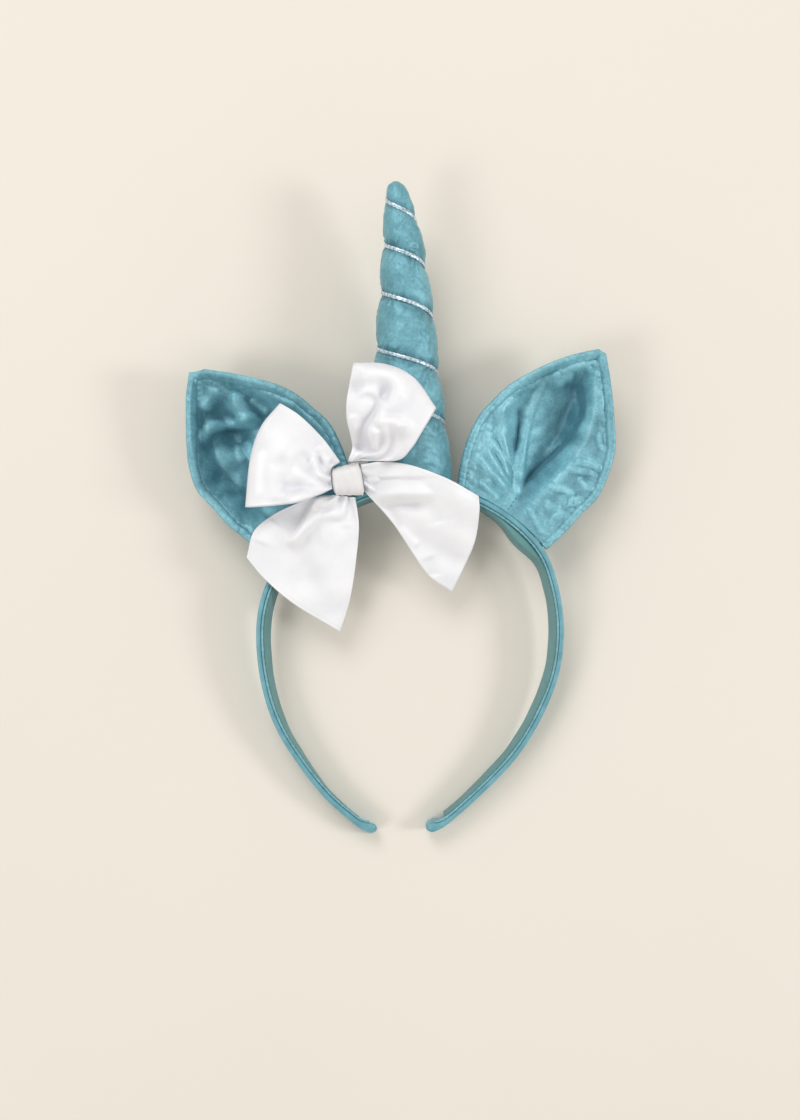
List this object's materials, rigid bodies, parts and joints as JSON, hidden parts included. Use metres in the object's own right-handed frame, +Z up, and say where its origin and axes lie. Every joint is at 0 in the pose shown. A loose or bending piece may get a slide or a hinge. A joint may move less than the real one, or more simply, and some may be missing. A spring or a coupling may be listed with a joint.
{
  "type": "unicorn horn headband",
  "caption": "Flexible satin-covered headband with a stuffed spiral horn, padded ears and a ribbon bow, worn on the head as costume headwear.",
  "frame": {"origin": "middle of the bottom of the whole object's box, on the surface that it lies on", "axes": "+Y from the open ends of the band to the horn's tip, +Z up from the surface out of the object's front, +X to the right ear as seen from above"},
  "size_m": [0.1938, 0.2962, 0.051],
  "materials": {
    "satin_band": "satin",
    "satin_lining": "satin",
    "satin_teal": "satin",
    "satin_white": "satin",
    "silver_braid": "satin"
  },
  "bodies": {
    "root": {"headband": "satin_band", "band_lining": "satin_lining", "horn": "satin_teal", "horn_cord": "silver_braid", "ear_left": "satin_teal", "ear_right": "satin_teal", "bow_knot": "satin_white", "bow_loop_left": "satin_white", "bow_loop_right": "satin_white", "bow_tail_left": "satin_white", "bow_tail_right": "satin_white"}
  },
  "joints": []
}
